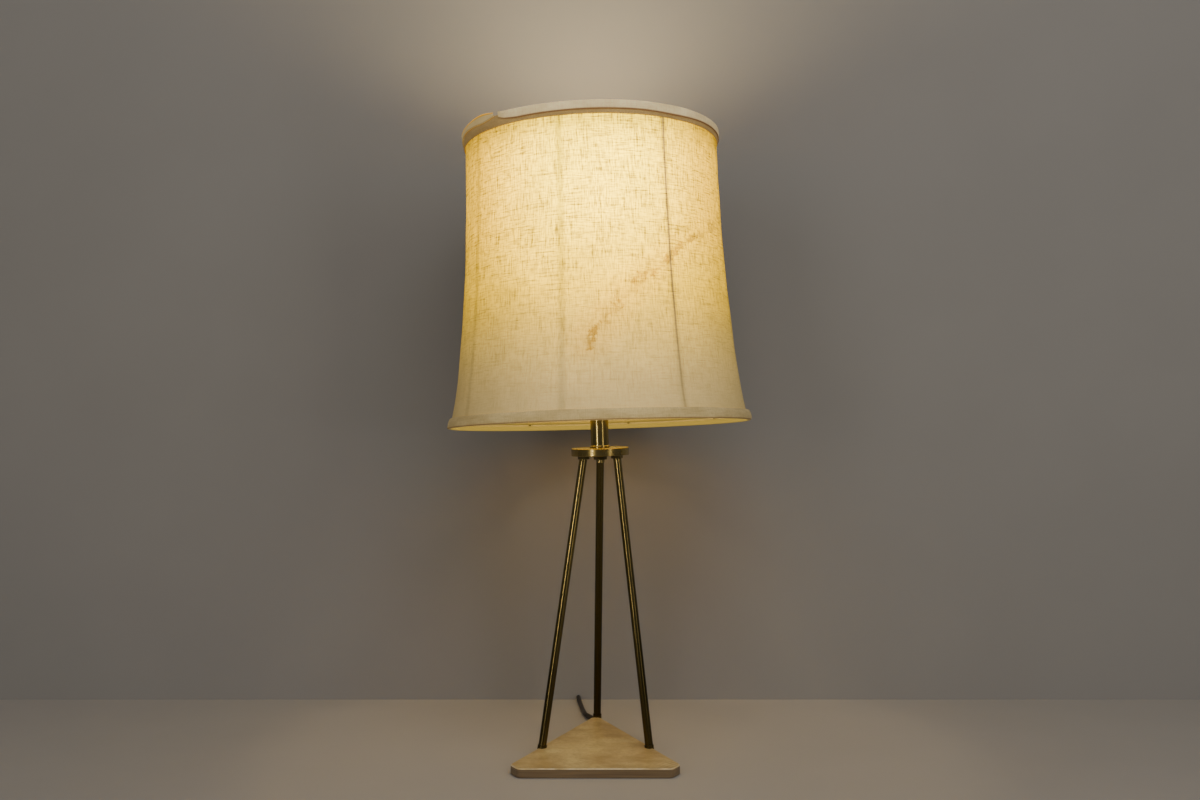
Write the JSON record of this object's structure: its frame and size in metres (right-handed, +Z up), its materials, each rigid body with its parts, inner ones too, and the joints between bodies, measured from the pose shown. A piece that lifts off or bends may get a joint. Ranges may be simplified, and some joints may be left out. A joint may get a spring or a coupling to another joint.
{
  "type": "tripod table lamp",
  "caption": "Table lamp with slim brass tripod legs on a flat triangular wooden base, a brass hub and neck, and a bell-shaped linen shade on a harp",
  "frame": {"origin": "on the table, under the middle of the hub's circle of legs before the hub's small sideways offset", "axes": "+Z up, -Y towards the front edge of the base, +X to the right seen from the front"},
  "size_m": [0.364, 0.5048, 0.7441],
  "materials": {
    "maple_base": "pale figured hardwood under a satin varnish",
    "leg_brass": "aged brass tube with a brown patina",
    "dark_brass": "darkened brass",
    "plain_steel": "plain bright steel",
    "hub_brass": "turned brass with a brown patina",
    "neck_brass": "polished brass tube, lightly aged",
    "harp_brass": "brass-plated wire and turned brass",
    "holder_brass": "drawn brass shell",
    "liner_board": "fibre board insulating sleeve",
    "black_plastic": "glossy black thermoset plastic",
    "bulb_glass": "frosted white glass",
    "bulb_cap": "drawn aluminium screw cap",
    "frame_brass": "brass-plated steel wire frame",
    "shade_linen": "slubby natural linen over a stiff lining, faintly tide-marked",
    "shade_trim": "folded linen band, glued on",
    "wire_plastic": "plastic-covered supply wire",
    "cord_black": "dark brown-black flexible plastic",
    "tie_plastic": "plain plastic tie",
    "plug_black": "moulded black plug",
    "blade_brass": "bright brass blades"
  },
  "bodies": {
    "stand": {"wood_base": "maple_base", "leg_left": "leg_brass", "leg_right": "leg_brass", "leg_rear": "leg_brass", "ferrule_left": "dark_brass", "ferrule_right": "dark_brass", "ferrule_rear": "dark_brass", "foot_pins": "plain_steel", "hub_cup": "hub_brass", "hub_plate": "dark_brass", "leg_nuts": "dark_brass", "stem_pipe": "hub_brass", "stem_washer": "dark_brass", "stem_locknut": "dark_brass", "neck_collar": "hub_brass", "neck_tube": "neck_brass", "neck_cap": "neck_brass", "harp_saddle": "harp_brass", "harp": "harp_brass", "socket_cap": "holder_brass", "socket_shell": "holder_brass", "socket_liner": "liner_board", "socket_body": "black_plastic", "screw_shell": "holder_brass", "centre_contact": "holder_brass", "lamp_wire": "wire_plastic", "strain_relief": "cord_black", "cord_run": "cord_black", "cord_coil": "cord_black", "cord_tail": "cord_black", "cord_tie": "tie_plastic", "plug_body": "plug_black", "plug_blades": "blade_brass"},
    "shade": {"shade_spider": "frame_brass", "shade_bottom_ring": "frame_brass", "shade_ribs": "frame_brass", "shade_fabric": "shade_linen", "trim_top": "shade_trim", "trim_bottom": "shade_trim"},
    "finial": {"finial": "harp_brass"},
    "switch": {"switch_shaft": "plain_steel", "switch_knob": "black_plastic"},
    "bulb": {"bulb_glass": "bulb_glass", "bulb_cap": "bulb_cap", "bulb_contact": "black_plastic"},
    "sleeve_left": {"harp_sleeve_left": "harp_brass"},
    "sleeve_right": {"harp_sleeve_right": "harp_brass"}
  },
  "joints": [
    {"name": "shade_turn", "type": "hinge", "parent": "stand", "child": "shade", "pos_m": [-0.00554, 0.00861, 0.71137], "axis": [-0.0305, 0.048, 0.9984], "continuous": true},
    {"name": "finial_turn", "type": "hinge", "parent": "stand", "child": "finial", "pos_m": [-0.00554, 0.00861, 0.71137], "axis": [-0.0305, 0.048, 0.9984], "continuous": true},
    {"name": "switch_turn", "type": "hinge", "parent": "stand", "child": "switch", "pos_m": [-0.00089, -0.0278, 0.5591], "axis": [0, -1, 0], "continuous": true},
    {"name": "bulb_turn", "type": "hinge", "parent": "stand", "child": "bulb", "pos_m": [-0.0019, 0, 0.59209], "axis": [-0.0305, 0, 0.9995], "continuous": true},
    {"name": "sleeve_left_lift", "type": "slide", "parent": "stand", "child": "sleeve_left", "axis": [-0.0305, 0.048, 0.9984], "range_m": [0, 0.012]},
    {"name": "sleeve_right_lift", "type": "slide", "parent": "stand", "child": "sleeve_right", "axis": [-0.0305, 0.048, 0.9984], "range_m": [0, 0.012]}
  ]
}
